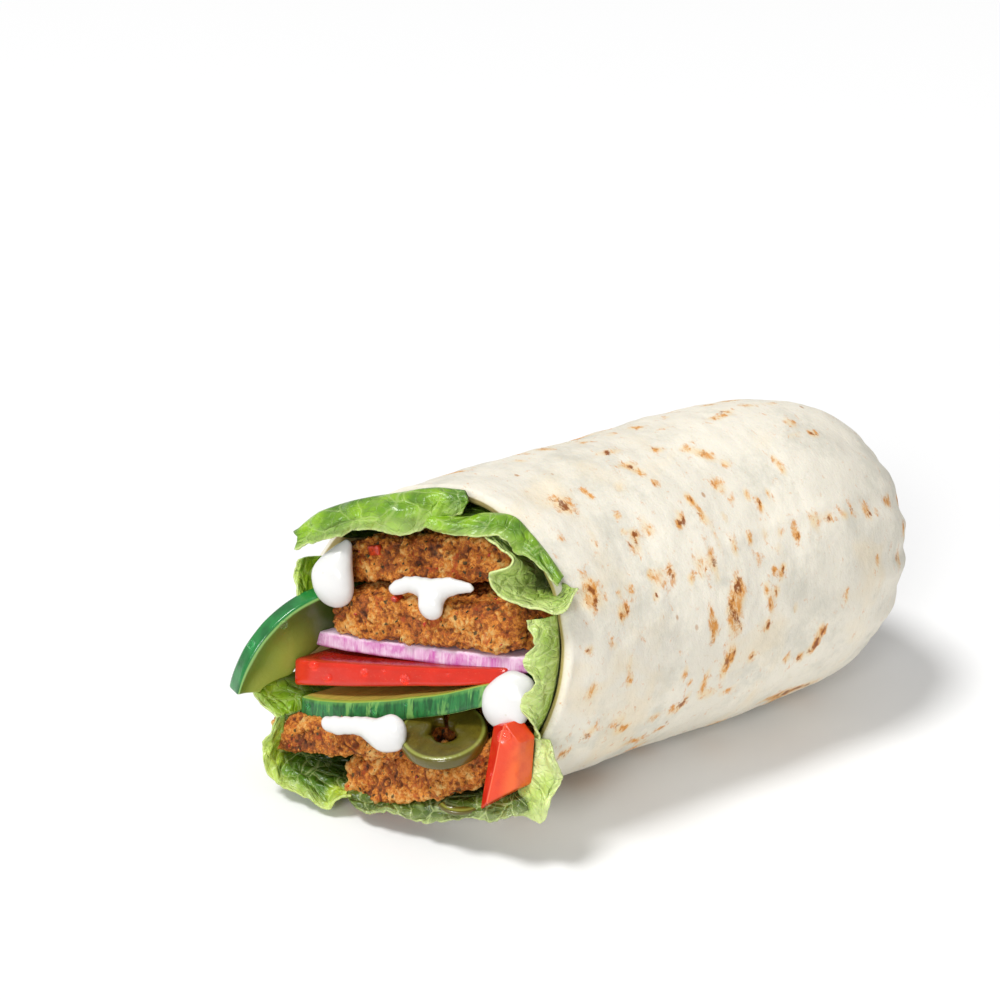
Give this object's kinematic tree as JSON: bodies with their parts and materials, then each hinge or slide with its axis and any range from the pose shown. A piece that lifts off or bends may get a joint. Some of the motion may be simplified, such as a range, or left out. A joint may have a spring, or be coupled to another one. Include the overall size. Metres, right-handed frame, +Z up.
{
  "type": "vegetable wrap",
  "caption": "Half of a rolled tortilla wrap, cut across on a slant and lying on its side, showing patties, lettuce, tomato, cucumber, onion, peppers and white sauce.",
  "frame": {"origin": "on the ground under the roll's axis, about halfway along the piece", "axes": "+X along the roll from the cut end to the closed end, +Y to the left of that, +Z up"},
  "size_m": [0.1477, 0.0711, 0.0674],
  "materials": {
    "tortilla": "soft flour tortilla with toasted spots",
    "patty": "fried crumb with herbs",
    "lettuce": "fresh leaf",
    "tomato": "wet slice",
    "cucumber": "striped peel and wet flesh",
    "onion": "raw red onion",
    "sauce": "creamy white sauce",
    "pickled_pepper": "pickled ring",
    "green_pepper": "wet skin",
    "red_pepper": "wet skin"
  },
  "bodies": {
    "root": {"tortilla": "tortilla", "patty_top": "patty", "patty_second": "patty", "patty_third": "patty", "patty_bottom": "patty", "onion": "onion", "tomato": "tomato", "cucumber": "cucumber", "green_pepper": "green_pepper", "red_pepper": "red_pepper", "sauce_left": "sauce", "sauce_middle": "sauce", "sauce_right": "sauce", "sauce_low": "sauce", "pickle_ring": "pickled_pepper", "pickle_under": "pickled_pepper", "lettuce_top_left": "lettuce", "lettuce_top": "lettuce", "lettuce_cup": "lettuce", "lettuce_right": "lettuce", "lettuce_bottom_right": "lettuce", "lettuce_bottom": "lettuce", "lettuce_bottom_left": "lettuce", "lettuce_left": "lettuce", "lettuce_left_top": "lettuce"}
  },
  "joints": []
}
